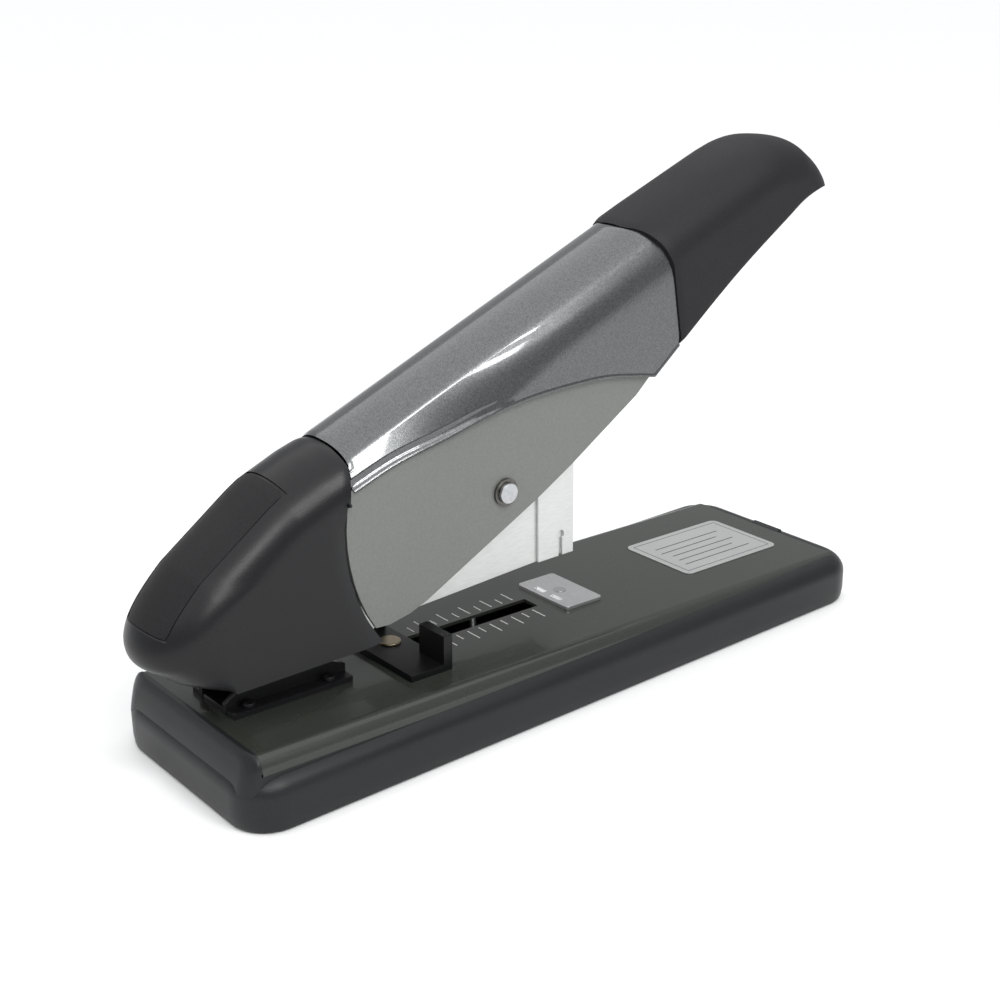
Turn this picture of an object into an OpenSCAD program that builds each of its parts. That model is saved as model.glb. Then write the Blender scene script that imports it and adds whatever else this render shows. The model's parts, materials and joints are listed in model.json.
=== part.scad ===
// Long reach stapler. +X is the mouth end, +Z is up, and the origin is the centre of the underside.

/* [Base] */
// Length of the moulded base
base_l = 280; // [276:1:290]
// Width of the moulded base
base_w = 86.8; // [84:0.2:92]
// Radius of the base's corners seen from above
base_corner_r = 14; // [10:1:18]
// Height of the plastic rim beside the plate
rim_z = 18.5; // [18:0.1:19]
// Height of the plate's top at its rear edge
plate_rear_z = 25.4; // [25:0.1:26]
// Height of the plate's top at its front edge
plate_front_z = 18.9; // [18.6:0.1:19.4]
// Thickness of the plate's sheet
plate_t = 1.2; // [1:0.1:1.4]

/* [Guide and anvil] */
// Width of the slot that the paper guide runs in
slot_w = 7.6; // [7:0.2:8]
// Width across the guide's ears
guide_w = 52; // [48:1:56]
// Height of the guide's ears
ear_h = 12.5; // [10:0.5:13]
// Length of the anvil plate
anvil_l = 17.4; // [16:0.2:19]
// Width of the anvil plate
anvil_w = 28; // [24:1:32]

/* [Arm] */
// Width of the arm's channel
arm_w = 20; // [19.8:0.1:20.2]
// Thickness of the arm's sheet
arm_t = 1.2; // [1:0.1:1.2]
// Radius of the arm's pivot pin
pivot_r = 3; // [2.5:0.1:3.5]
// Width of the black rear cover
cover_w = 40; // [40:0.5:42]
// Wall of the rear cover
cover_wall = 2.2; // [2:0.1:2.4]

/* [Handle] */
// Width of the painted shell
shell_w = 40.8; // [40.6:0.1:41]
// Wall of the painted shell
shell_wall = 1.8; // [1.6:0.1:2]
// Width across the lever's cheeks
lever_w = 36.8; // [36.4:0.1:37]
// Thickness of the lever's sheet
lever_t = 1.6; // [1.4:0.1:1.8]
// Radius of the handle's pin
handle_pin_r = 3; // [2.5:0.1:3.2]
// Width of the grip
grip_w = 43; // [42.4:0.2:44]

/* [Staples] */
// Outer width of a staple
staple_w = 13; // [12.8:0.1:13]
// Height of a staple
staple_h = 12.4; // [12:0.1:12.4]
// Length of the strip of staples
strip_l = 40; // [20:1:44]

/* [Hidden] */
$fn = 48;
small_fn = 24;
slack = 1;

// Plate: a sheet with rolled long edges that falls towards the mouth
plate_x0 = -133.3;
plate_x1 = 131.5;
plate_flat = 34.4;
plate_roll = 5;
plate_drop = 6;
plate_half = plate_flat + plate_roll;
plate_fall = (plate_rear_z - plate_front_z) / (plate_x1 - plate_x0);
plate_tilt = atan(plate_fall);
plate_l = (plate_x1 - plate_x0) / cos(plate_tilt);
function plate_top(x) = plate_rear_z - (x - plate_x0) * plate_fall;

// Base
base_foot_z = 0.6;
mat_t = 1;
bottom_t = 1.2;
bottom_top = mat_t + bottom_t;
roof_t = 3;
wall_in = 34.5;
shoulder_r = 6;
end_r = 7;
boss_r = 4;
screw_r = 1.5;
screw_xs = [-118, 0, 118];
screw_y = 28;
deck_top = 25.8;
window_half = 11;
window_x0 = -80;
window_x1 = 22;
slot_x0 = -64;
slot_x1 = 5.5;

// Anvil and label
anvil_x = 19.4;
anvil_t = 1.3;
pocket_x = 13.5;
pocket_y = 4.6;
label_x = 95;
label_l = 50.7;
label_w = 35.4;
label_t = 0.4;

// Pedestal and the arm's pivot
pivot_x = -108;
pivot_z = 40;
pedestal_half = 8.4;
pedestal_t = 2;
flange_x0 = -127;
flange_x1 = -82;
flange_half = 13;
bolt_xs = [-120, -90];
bolt_y = 10.6;
bolt_r = 1.6;

// Paper guide
bar_x0 = -68;
bar_x1 = -51;
ear_t = 3.6;
bar_t = 2.2;
ear_gap = 12.2;
guide_rivet_x = -58;
guide_rivet_r = 3;

// Arm
arm_half = arm_w / 2;
arm_in = arm_half - arm_t;
arm_front = 14.6;
web_x1 = -16;
spacers = [[-93, 48.2], [-90, 62], [-52, 72]];
spacer_r = 2;
nose_x0 = -0.5;
nose_x1 = 16;
nose_t = 1.2;
nose_half = arm_half + nose_t;
nose_z0 = 43;
nose_z1 = 98;
window_top = 60;
arm_top = 85;
cover_half = cover_w / 2;

// Handle, turning on a pin in the arm
pin_x = -21.5;
pin_z = 77.2;
lever_half = lever_w / 2;
lever_rear_r = 64;
cover_front_r = 65;
ridge_x = -92;
ridge_z = 102.3;
ridge_rise = 22.1;
link_arm = 31.1;
link_rise = 45;
press_angle = 28;
link_x = pin_x + link_arm * cos(link_rise);
link_z = pin_z + link_arm * sin(link_rise);
link_r = 3;
stroke = link_arm * (sin(link_rise) - sin(link_rise - press_angle));
slot_floor = 83;
block_half = 6.2;
function ridge(x) = ridge_z + (x - ridge_x) * tan(ridge_rise);

// Magazine
rail_half = 5.7;
rail_top = 55.6;
rail_z0 = 45;
rail_t = 1.2;
rail_x0 = -72;
rail_x1 = 13.2;
rail_block = 5;
rail_end = 1.6;
channel_half = 8.4;
channel_t = 0.9;
channel_foot = 43.6;
channel_wall_top = 53;
staple_half = staple_w / 2;
staple_top = 56.6;
crown_t = 0.9;
pusher_top = 56.9;
pusher_foot = 43.9;
pusher_gap = 0.3;
strip_x1 = 13.2;
strip_x0 = strip_x1 - strip_l;
rod_z = 50.5;
rod_r = 1.2;
pusher_l = 9;
pusher_x1 = strip_x0 - 0.2;
pusher_x0 = pusher_x1 - pusher_l;
blade_x0 = 13.45;
blade_x1 = 14.45;

// ---- Helpers ----

// Points along an arc, from angle a0 to angle a1
function arc(cx, cy, r, a0, a1, n) =
  [for (i = [0:n]) let (a = a0 + (a1 - a0) * i / n) [cx + r * cos(a), cy + r * sin(a)]];

// The same outline mirrored and reversed, so that a half outline closes on itself
function mirrored(points) = [for (i = [len(points) - 1:-1:0]) [-points[i][0], points[i][1]]];

// Moves each point of an open outline inwards (to its right as it is walked) by d
function inset(points, d) = [for (i = [0:len(points) - 1])
  let (a = points[max(i - 1, 0)], b = points[min(i + 1, len(points) - 1)])
  let (dx = b[0] - a[0], dy = b[1] - a[1], l = norm([dx, dy]))
  [points[i][0] + d * dy / l, points[i][1] - d * dx / l]];

// A side outline in X and Z, drawn out to half on both sides
module side_solid(points, half) {
  translate([0, half, 0]) rotate([90, 0, 0]) linear_extrude(2 * half) polygon(points);
}

// A cross section in Y and Z, drawn out from x0 to x1
module cross_solid(points, x0, x1) {
  translate([x0, 0, 0]) rotate([90, 0, 90]) linear_extrude(x1 - x0) polygon(points);
}

// A plate in plan with rounded corners, centred on the origin
module rounded_plate(l, w, t, r) {
  linear_extrude(t) {
    square([l - 2 * r, w], center = true);
    square([l, w - 2 * r], center = true);
    for (x = [-1, 1], y = [-1, 1]) translate([x * (l / 2 - r), y * (w / 2 - r)]) circle(r);
  }
}

// A round bar across the object
module cross_pin(x, z, r, half) {
  translate([x, half, z]) rotate([90, 0, 0]) cylinder(r = r, h = 2 * half);
}

// Places its children on the plate's top at x
module on_plate(x) {
  translate([x, 0, plate_top(x)]) rotate([0, plate_tilt, 0]) children();
}

// Places its children along the ridge of the handle, with local X along it
module on_ridge() {
  translate([ridge_x, 0, ridge_z]) rotate([0, -ridge_rise, 0]) children();
}

// ---- Base ----

module plan(margin) {
  translate([0, 0, -slack])
    rounded_plate(base_l - 2 * margin, base_w - 2 * margin, 40, base_corner_r - margin);
}

module base_outer() {
  half = base_w / 2;
  half_l = base_l / 2;
  section = concat([[half - 0.8, base_foot_z], [half, 5]],
    arc(half - shoulder_r, rim_z - shoulder_r, shoulder_r, 0, 90, 6));
  top = arc(half_l - end_r, rim_z - end_r, end_r, 90, 0, 6);
  end = concat(top, [[half_l, 5], [half_l - 0.8, base_foot_z]]);
  intersection() {
    plan(0);
    cross_solid(concat(section, mirrored(section)), -half_l - slack, half_l + slack);
    side_solid(concat(mirrored(end), end), half + slack);
  }
  deck = concat([[plate_half, -8]], arc(plate_flat, -plate_roll, plate_roll, 0, 90, 6));
  bevel = [[-139.6, 8], [-138.8, 15], [-136.8, 21], [-134.6, 25.2], [-133.9, deck_top],
    [plate_x1 + 0.2, deck_top], [plate_x1 + 0.2, 8]];
  intersection() {
    plan(0.2);
    on_plate(plate_x0) cross_solid(concat(deck, mirrored(deck)), -7, plate_l + 0.2);
    side_solid(bevel, half);
  }
}

module base_shell() {
  plate_cut = concat([[plate_half, 10], [plate_half, -plate_drop], [plate_half - plate_t, -plate_drop]],
    arc(plate_flat, -plate_roll, plate_roll - plate_t, 0, 90, 6));
  color("#26272a") union() {
    difference() {
      base_outer();
      on_plate(plate_x0) cross_solid(concat(plate_cut, mirrored(plate_cut)), 0, plate_l);
      intersection() {
        translate([-131, -wall_in, -slack]) cube([262, 2 * wall_in, 40]);
        on_plate(plate_x0) translate([-5, -wall_in, -40])
          cube([plate_l + 10, 2 * wall_in, 40 - plate_t - roof_t]);
      }
      translate([0, 0, -slack]) rounded_plate(268, 73.4, slack + bottom_top, 10);
      on_plate(0) translate([window_x0, -window_half, -plate_t - roof_t - slack])
        cube([window_x1 - window_x0, 2 * window_half, roof_t + slack]);
      for (x = bolt_xs, y = [-bolt_y, bolt_y])
        on_plate(x) translate([0, y, -12]) cylinder(r = bolt_r, h = 12, $fn = small_fn);
    }
    difference() {
      for (x = screw_xs, y = [-screw_y, screw_y]) translate([x, y, bottom_top])
        cylinder(r = boss_r, h = plate_top(x) - plate_t - 1 - bottom_top, $fn = small_fn);
      screw_holes(9.5);
    }
    front_tab();
  }
}

// A small tab that holds the plate's front edge
module front_tab() {
  translate([plate_x1 + 0.05, -7.5, rim_z - 4]) cube([3.6, 15, 4.6]);
}

module screw_holes(depth) {
  for (x = screw_xs, y = [-screw_y, screw_y])
    translate([x, y, 0]) cylinder(r = screw_r, h = depth, $fn = small_fn);
}

module base_plate() {
  outer = concat([[plate_half, -plate_drop]], arc(plate_flat, -plate_roll, plate_roll, 0, 90, 6));
  inner = concat([[plate_half - plate_t, -plate_drop]],
    arc(plate_flat, -plate_roll, plate_roll - plate_t, 0, 90, 6));
  half_sheet = concat(inner, [[0, -plate_t], [0, 0]], [for (i = [len(outer) - 1:-1:0]) outer[i]]);
  color("#3b3d40") difference() {
    on_plate(plate_x0) union() {
      cross_solid(half_sheet, 0, plate_l);
      cross_solid([for (p = half_sheet) [-p[0], p[1]]], 0, plate_l);
    }
    on_plate(slot_x0) translate([0, -slot_w / 2, -5]) cube([slot_x1 - slot_x0, slot_w, 10]);
    on_plate(anvil_x) translate([0, 0, -5]) cylinder(r = 2, h = 10);
    for (x = bolt_xs, y = [-bolt_y, bolt_y])
      on_plate(x) translate([0, y, -5]) cylinder(r = bolt_r, h = 10, $fn = small_fn);
  }
}

module bottom_plate() {
  color("#77797c") difference() {
    translate([0, 0, mat_t]) rounded_plate(267.6, 73, bottom_t, 9.8);
    screw_holes(5);
  }
}

module base_mat() {
  color("#1d1d1f") difference() {
    rounded_plate(264, 70, mat_t, 8);
    for (x = screw_xs, y = [-screw_y, screw_y])
      translate([x, y, -slack]) cylinder(r = 4.5, h = 3, $fn = small_fn);
  }
}

module base_screws() {
  color("#9a9ca0") for (x = screw_xs, y = [-screw_y, screw_y]) translate([x, y, 0]) {
    translate([0, 0, 0.2]) difference() {
      cylinder(r = 3, h = mat_t - 0.2, $fn = small_fn);
      for (a = [0, 90]) rotate([0, 0, a]) translate([-1.8, -0.35, -slack]) cube([3.6, 0.7, slack + 0.5]);
    }
    translate([0, 0, mat_t]) cylinder(r = screw_r, h = 8, $fn = small_fn);
  }
}

module anvil() {
  color("#c9cacc") difference() {
    on_plate(anvil_x) difference() {
      rounded_plate(anvil_l, anvil_w, anvil_t, 1.5);
      translate([0, 0, -slack]) cylinder(r = 2, h = 4);
    }
    for (y = [-pocket_y, pocket_y])
      on_plate(pocket_x) translate([0, y + 2.7, anvil_t + 0.9]) rotate([90, 0, 0]) cylinder(r = 1.6, h = 5.4);
  }
}

module anvil_rivet() {
  color("#b9babd") on_plate(anvil_x) {
    translate([0, 0, -3.6]) cylinder(r = 2, h = 3.6 + anvil_t);
    translate([0, 0, anvil_t]) cylinder(r = 2.4, h = 0.2);
  }
}

module label_plate() {
  color("#c4c5c8") on_plate(label_x) rounded_plate(label_l, label_w, label_t, 3);
}

module pedestal() {
  cheek = concat([[flange_x0, plate_top(flange_x0)], [flange_x1, plate_top(flange_x1)], [flange_x1, 29]],
    arc(pivot_x, pivot_z, 7.5, -20, 200, 10), [[flange_x0, 29]]);
  color("#202123") difference() {
    union() {
      for (y = [-1, 1]) translate([0, y * (pedestal_half - pedestal_t / 2), 0])
        side_solid(cheek, pedestal_t / 2);
      on_plate(pivot_x) translate([flange_x0 - pivot_x + 0.2, -flange_half, 0])
        cube([flange_x1 - flange_x0 - 0.4, 2 * flange_half, pedestal_t]);
    }
    cross_pin(pivot_x, pivot_z, pivot_r, 20);
    for (x = bolt_xs, y = [-bolt_y, bolt_y])
      on_plate(x) translate([0, y, -slack]) cylinder(r = bolt_r, h = 5, $fn = small_fn);
  }
}

module pedestal_bolts() {
  color("#8d8f93") for (x = bolt_xs, y = [-bolt_y, bolt_y]) on_plate(x) translate([0, y, 0]) {
    translate([0, 0, pedestal_t]) cylinder(r = 2.1, h = 1.6, $fn = small_fn);
    translate([0, 0, -7.2]) cylinder(r = bolt_r, h = 7.2 + pedestal_t, $fn = small_fn);
  }
}

module pedestal_nuts() {
  color("#8d8f93") for (x = bolt_xs, y = [-bolt_y, bolt_y])
    on_plate(x) translate([0, y, -plate_t - roof_t - 2.4]) difference() {
      cylinder(r = 3.1, h = 2.4, $fn = 6);
      translate([0, 0, -slack]) cylinder(r = bolt_r, h = 5, $fn = small_fn);
    }
}

module arm_pivot_pin() {
  color("#b2b4b8") {
    cross_pin(pivot_x, pivot_z, pivot_r, 11.2);
    for (y = [-1, 1]) translate([0, y * 11.9, 0]) cross_pin(pivot_x, pivot_z, 4.4, 0.8);
  }
}

// A coil of round wire along Z, swept as a tube of eight sides
module coil(r, wire, length, turns) {
  sides = 8;
  steps = 14 * turns;
  points = [for (i = [0:steps], j = [0:sides - 1])
    let (a = 360 * turns * i / steps, b = 360 * j / sides, q = r + wire * cos(b))
    [q * cos(a), q * sin(a), length * i / steps + wire * sin(b)]];
  walls = [for (i = [0:steps - 1], j = [0:sides - 1])
    let (a = i * sides + j, b = i * sides + (j + 1) % sides) [a, b, b + sides, a + sides]];
  ends = [[for (j = [sides - 1:-1:0]) j], [for (j = [0:sides - 1]) steps * sides + j]];
  polyhedron(points, concat(walls, ends));
}

// A torsion spring round a cross pin: a coil along Y with two straight legs
module torsion_spring(x, z, r, wire, half, turns, leg_a, leg_b, leg_l) {
  translate([x, half, z]) rotate([90, 0, 0]) coil(r, wire, 2 * half, turns);
  for (leg = [[leg_a, 1], [leg_b, -1]]) translate([x, leg[1] * half, z]) rotate([0, leg[0], 0])
    translate([r, 0, 0]) cylinder(r = wire, h = leg_l, $fn = small_fn);
}

module arm_spring() {
  color("#a9abb0") torsion_spring(pivot_x, pivot_z, 4.4, 0.6, 5.4, 6, 180, 60, 12);
}

// ---- Paper guide ----

module paper_guide() {
  color("#1c1d1f") difference() {
    on_plate(bar_x0) union() {
      translate([0, -guide_w / 2, 0.15]) cube([bar_x1 - bar_x0, guide_w, bar_t]);
      for (y = [-1, 1]) {
        translate([bar_x1 - bar_x0 - ear_t, y > 0 ? ear_gap : -guide_w / 2, 0.15])
          cube([ear_t, guide_w / 2 - ear_gap, ear_h]);
      }
    }
    on_plate(guide_rivet_x) translate([0, 0, -slack]) cylinder(r = guide_rivet_r, h = 6);
  }
}

module guide_rivet() {
  color("#c8b878") on_plate(guide_rivet_x) {
    translate([0, 0, -3.2]) cylinder(r = guide_rivet_r, h = 3.35 + bar_t);
    translate([0, 0, 0.15 + bar_t]) cylinder(r = 3.9, h = 0.8);
  }
}

module guide_shoe() {
  color("#88898d") on_plate(guide_rivet_x) translate([0, 0, -plate_t - 0.2 - 1.8]) difference() {
    rounded_plate(18, 16, 1.8, 2);
    translate([0, 0, -slack]) cylinder(r = guide_rivet_r, h = 4);
  }
}

// ---- Arm ----

arm_outline = [
  [-118, 34], [-118, 56], [-96, 74], [-62, arm_top], [-34, arm_top], [arm_front, arm_top],
  [arm_front, 43.2], [nose_x0, 43.1], [-52, 41], [-68, 41.4], [-76, 34]];

// The link pin's way through the walls of the arm and the nose
module pin_slot() {
  translate([link_x - 4.4, -20, slot_floor]) cube([link_arm * cos(link_rise - press_angle) - 13.2, 40, 40]);
}

module arm_frame() {
  color("#d9dadb") difference() {
    side_solid(arm_outline, arm_half);
    side_solid([[-125, 20], [-125, 49], [-96, 74 - arm_t], [-62, arm_top - arm_t],
      [web_x1, arm_top - arm_t], [web_x1, 100], [20, 100], [20, 20]], arm_in);
    translate([-130, -arm_in, 30]) cube([32, 2 * arm_in, 60]);
    cross_pin(pivot_x, pivot_z, pivot_r + 0.05, 20);
    cross_pin(pin_x, pin_z, handle_pin_r, 20);
    for (p = spacers) cross_pin(p[0], p[1], spacer_r, 20);
    pin_slot();
  }
}

module nose_housing() {
  color("#e2e3e3") difference() {
    translate([nose_x0, -nose_half, nose_z0]) cube([nose_x1 - nose_x0, 2 * nose_half, nose_z1 - nose_z0]);
    translate([nose_x0 - slack, -arm_half, nose_z0 - slack])
      cube([nose_x1 - nose_t - nose_x0 + slack, 2 * arm_half, nose_z1]);
    translate([nose_x1 - 3, -8.6, nose_z0 - slack]) cube([5, 17.2, window_top - nose_z0 + slack]);
    pin_slot();
    keyhole();
  }
}

// An open keyhole slot in the foot of each side wall
module keyhole() {
  translate([9.2, -20, nose_z0 - slack]) cube([1.6, 40, 8 + slack]);
  cross_pin(10, nose_z0 + 8, 1.6, 20);
}

// The rear cover's middle line, over its top from the front and round the back
cover_top = [
  [-80, 107.8], [-92.8, 102.6], [-104.3, 98.6], [-112.8, 93.1], [-121.6, 87.5], [-130.5, 81.4],
  [-138, 74.7], [-144.5, 67.2], [-149.9, 59.8], [-152.4, 54.9], [-153, 51.5], [-152, 48], [-148.8, 45.2]];
// Its lower edge, from the back to the front
cover_foot = [
  [-146.6, 43.6], [-143.6, 41.2], [-139.5, 39.4], [-134.8, 38.4], [-129, 38], [-70, 38], [-70, 100]];
cover_drop = 16;
arch_angles = [10, 30, 50, 70, 90];
insert_half = 12.3;
insert_t = 0.6;

// Moves an open outline inwards by d, where it is walked with its inside on the left
function inset_left(points, d) = inset([for (i = [len(points) - 1:-1:0]) points[i]], d);

// An arch under the middle line: the further from the middle, the further in from the line
module cover_arch(wall, low) {
  hull() for (a = arch_angles)
    side_solid(concat(inset_left(cover_top, wall + cover_drop * (1 - cos(a))), low),
      (cover_half - wall) * sin(a));
}

module cover_outer() {
  intersection() {
    cover_arch(0, [[-70, 100], [-70, 38], [-129, 38]]);
    side_solid(concat(cover_top, cover_foot), cover_half);
  }
}

module rear_cover() {
  color("#1b1c1e") difference() {
    cover_outer();
    cover_arch(cover_wall, [[-60, 90], [-60, 30], [-140, 30]]);
    cross_pin(pin_x, pin_z, cover_front_r, 30);
    side_solid([[-82.6, 99], [-84.1, 106.2], [-85, 111], [-60, 111], [-60, 99]], 30);
    insert_solid(insert_half + 0.2);
    cover_screw_hole();
  }
}

// The part of the cover's top where the insert lies
module insert_solid(half) {
  line = [for (i = [2:8]) cover_top[i]];
  intersection() {
    difference() {
      cover_arch(0, [[-70, 100], [-70, 38], [-129, 38]]);
      cover_arch(insert_t, [[-60, 90], [-60, 30], [-140, 30]]);
    }
    side_solid(concat(inset_left(line, 8), inset(line, 2)), half);
  }
}

module cover_insert() {
  color("#2a2b2d") insert_solid(insert_half);
}

// The screw sits on the far side only, so the near side stays plain
module cover_screw_hole() {
  translate([-100, 16, 60]) rotate([-90, 0, 0]) cylinder(r = screw_r, h = 10, $fn = small_fn);
}

// Spacer posts from the arm to the cover's walls, and the screw through the far one
module cover_screws() {
  reach = cover_half - arm_half;
  color("#303236") {
    for (side = [-1, 1]) translate([-100, side * arm_half, 60]) rotate([-90 * side, 0, 0])
      cylinder(r = 3.4, h = reach - cover_wall, $fn = small_fn);
    translate([-100, arm_half, 60]) rotate([-90, 0, 0]) {
      cylinder(r = screw_r, h = reach, $fn = small_fn);
      translate([0, 0, reach]) cylinder(r = 2.6, h = 0.9, $fn = small_fn);
    }
  }
}

module frame_spacers() {
  color("#b2b4b8") for (p = spacers) {
    cross_pin(p[0], p[1], spacer_r, arm_half + 0.8);
    cross_pin(p[0], p[1], spacer_r + 1, arm_in);
  }
}

module handle_pin() {
  color("#c2c3c6") {
    cross_pin(pin_x, pin_z, handle_pin_r, lever_half + 1.2);
    for (y = [-1, 1]) translate([0, y * (lever_half + 1.9), 0]) {
      cross_pin(pin_x, pin_z, 3.6, 0.7);
    }
  }
}

module handle_bushes() {
  color("#a5a7ab") for (y = [-1, 1]) {
    mid = (arm_half + lever_half - lever_t) / 2;
    translate([0, y * mid, 0]) difference() {
      cross_pin(pin_x, pin_z, 5.5, (lever_half - lever_t - arm_half) / 2 - 0.3);
      cross_pin(pin_x, pin_z, handle_pin_r, 20);
    }
  }
}

module handle_spring() {
  color("#a9abb0") torsion_spring(pin_x, pin_z, 4.4, 0.7, 7.6, 8, -100, 45, 31);
}

// ---- Magazine ----

// A bore or a rod along the magazine, from x0 to x1
module rod(r, x0, x1) {
  translate([x0, 0, rod_z]) rotate([0, 90, 0]) cylinder(r = r, h = x1 - x0, $fn = small_fn);
}

module magazine_rail() {
  color("#b7b9bd") difference() {
    union() {
      translate([rail_x0, -rail_half, rail_z0]) cube([rail_x1 - rail_x0, 2 * rail_half, rail_top - rail_z0]);
      translate([rail_x0, -channel_half, rail_z0]) cube([rail_block, 2 * channel_half, rail_top - rail_z0]);
    }
    translate([rail_x0 + rail_block, -rail_half + rail_t, rail_z0 - slack])
      cube([rail_x1 - rail_x0 - rail_block - rail_end, 2 * (rail_half - rail_t),
        rail_top - rail_z0 - rail_t + slack]);
    rod(rod_r, rail_x0 - slack, rail_x1 + slack);
  }
}

// The channel round the rail: two side walls and the front plate that closes the nose
module magazine_channel() {
  color("#d4d5d6") difference() {
    translate([rail_x0 + rail_block, -channel_half, channel_foot])
      cube([nose_x1 - rail_x0 - rail_block, 2 * channel_half, window_top - 0.3 - channel_foot]);
    translate([rail_x0, -channel_half + channel_t, channel_foot - slack])
      cube([nose_x1 - nose_t - rail_x0, 2 * (channel_half - channel_t), 30]);
    translate([rail_x0, -20, channel_wall_top]) cube([nose_x1 - nose_t - rail_x0, 40, 30]);
  }
}

module magazine_pull() {
  color("#2a2b2d") difference() {
    translate([nose_x1, -5, 46.5]) cube([5, 10, 8]);
    translate([nose_x1 + 1.4, -6, 45]) cube([2, 12, 6]);
  }
}

// One strip of staples: an inverted U, glued into one bar
module staple_strip() {
  color("#c3c4c7") difference() {
    translate([strip_x0, -staple_half, staple_top - staple_h]) cube([strip_l, staple_w, staple_h]);
    translate([strip_x0 - slack, -rail_half - 0.1, 30])
      cube([strip_l + 2 * slack, 2 * rail_half + 0.2, staple_top - crown_t - 30]);
  }
}

module pusher_rod() {
  color("#c8c9cb") rod(rod_r, rail_x0, rail_x1 - 0.1);
}

module pusher() {
  outer = rail_half + pusher_gap;
  inner = rail_half - rail_t - pusher_gap;
  long = pusher_l + 2 * slack;
  color("#2d2e31") difference() {
    translate([pusher_x0, -staple_half, pusher_foot])
      cube([pusher_l, staple_w, pusher_top - pusher_foot]);
    for (y = [-outer, inner]) translate([pusher_x0 - slack, y, rail_z0 - pusher_gap])
      cube([long, outer - inner, rail_top - rail_z0 + 2 * pusher_gap]);
    translate([pusher_x0 - slack, -outer, rail_top - rail_t - pusher_gap])
      cube([long, 2 * outer, rail_t + 2 * pusher_gap]);
    rod(rod_r + pusher_gap, pusher_x0 - slack, pusher_x1 + slack);
  }
}

module pusher_spring() {
  turns = 7;
  color("#a9abb0") translate([rail_x0 + 5.6, 0, rod_z]) rotate([0, 90, 0])
    coil(2.2, 0.4, pusher_x0 - rail_x0 - 6.4, turns);
}

// ---- Handle ----

// The seam between the painted shell and the lever's cheek
seam = [[-82.2, 93.2], [-65.4, 98.8], [-45.4, 103.2], [-28.9, 106.3], [-7.4, 108.5], [19.8, 108.8],
  [36, 106.6], [46, 104.4]];
// The joint between the shell and the grip, from below to the ridge
joint = [[58, 112], [57.8, 116.2], [56.7, 130.2], [54.4, 140.2], [51.7, 146.5], [49.2, 151.7],
  [45.7, 155.6], [41.9, 156.6], [38, 162]];
shell_half = shell_w / 2;
grip_half = grip_w / 2;
crown_r = 20;
web_z = -20.2;
web_drop = 20.1;
cover_rivet_us = [30, 72, 114];
rivet_r = 2;
rivet_l = 11;

// Rounded cross section along the ridge: Y across, and Z down from the ridge
function ridge_section(half, top, r, low) =
  let (side = concat([[half, low]], arc(half - r, top - r, r, 0, 90, 12)))
  concat(side, mirrored(side));

module ridge_solid(half, top, r, x0, x1) {
  on_ridge() cross_solid(ridge_section(half, top, r, -90), x0, x1);
}

module handle_cover() {
  outline = concat(seam, joint, [[-80, 130], [-84.5, 110], [-83.3, 105.9], [-81.8, 100.8], [-81.9, 96.9]]);
  post = -shell_wall / 2 - web_z - lever_t;
  color("#85878b") difference() {
    union() {
      difference() {
        intersection() {
          ridge_solid(shell_half, 0, crown_r, -10, 160);
          side_solid(outline, shell_half + slack);
        }
        ridge_solid(shell_half - shell_wall, -shell_wall, crown_r - shell_wall, -20, 170);
      }
      for (u = cover_rivet_us) on_ridge() translate([u, 0, web_z + lever_t])
        cylinder(r = 2 * rivet_r, h = post, $fn = small_fn);
    }
    for (u = cover_rivet_us) on_ridge() translate([u, 0, web_z])
      cylinder(r = rivet_r, h = rivet_l + 0.2, $fn = small_fn);
  }
}

// The lever: two cheeks and a web, bent from one sheet
lever_outline = concat(
  [[-70.5, 42.9]],
  arc(pin_x, pin_z, lever_rear_r, 212, 166.5, 8),
  [[-65.4, 98.2], [-45.4, 102.4], [-36, 104.4], [100, ridge(100) - web_drop], [107, 157], [103, 151.5],
   [76, 130.2], [60, 118.4], [50, 108.6], [39.1, 99], [8.6, 80], [-7.4, 71], [-55.2, 47], [-62, 44.5]]);
blind = 0.6;

module handle_lever() {
  color("#6e7073") difference() {
    side_solid(lever_outline, lever_half);
    difference() {
      translate([-120, -lever_half + lever_t, 20]) cube([260, lever_w - 2 * lever_t, 200]);
      on_ridge() translate([14, -30, web_z]) cube([180, 60, lever_t]);
    }
    cross_pin(pin_x, pin_z, handle_pin_r + 0.05, 30);
    cross_pin(link_x, link_z, link_r, lever_half - blind);
    for (u = cover_rivet_us) on_ridge() translate([u, 0, web_z - slack])
      cylinder(r = rivet_r, h = 5, $fn = small_fn);
  }
}

module link_pin() {
  color("#b2b4b8") cross_pin(link_x, link_z, link_r, lever_half - blind);
}

module pin_washers() {
  color("#d0d1d3") for (y = [-1, 1]) translate([0, y * (lever_half + 0.6), 0]) difference() {
    cross_pin(pin_x, pin_z, 4.8, 0.5);
    cross_pin(pin_x, pin_z, handle_pin_r + 0.05, 20);
  }
}

// The grip's middle line over its top, and its lower edge from the tip back
grip_top = [[38, 156], [62.1, 165.4], [88.1, 175.3], [96.2, 178.3], [104.1, 180.5], [112.3, 181],
  [124.6, 179.1], [132, 175.6], [138, 171.3], [142.5, 166.3], [144.6, 163]];
grip_low = [[143.5, 161.6], [139, 161], [131, 161.2], [122, 158.6], [112.3, 152], [92.5, 139.3],
  [76.1, 127.7], [56, 112.2]];
grip_drop = 17;
grip_round = 3;

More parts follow.
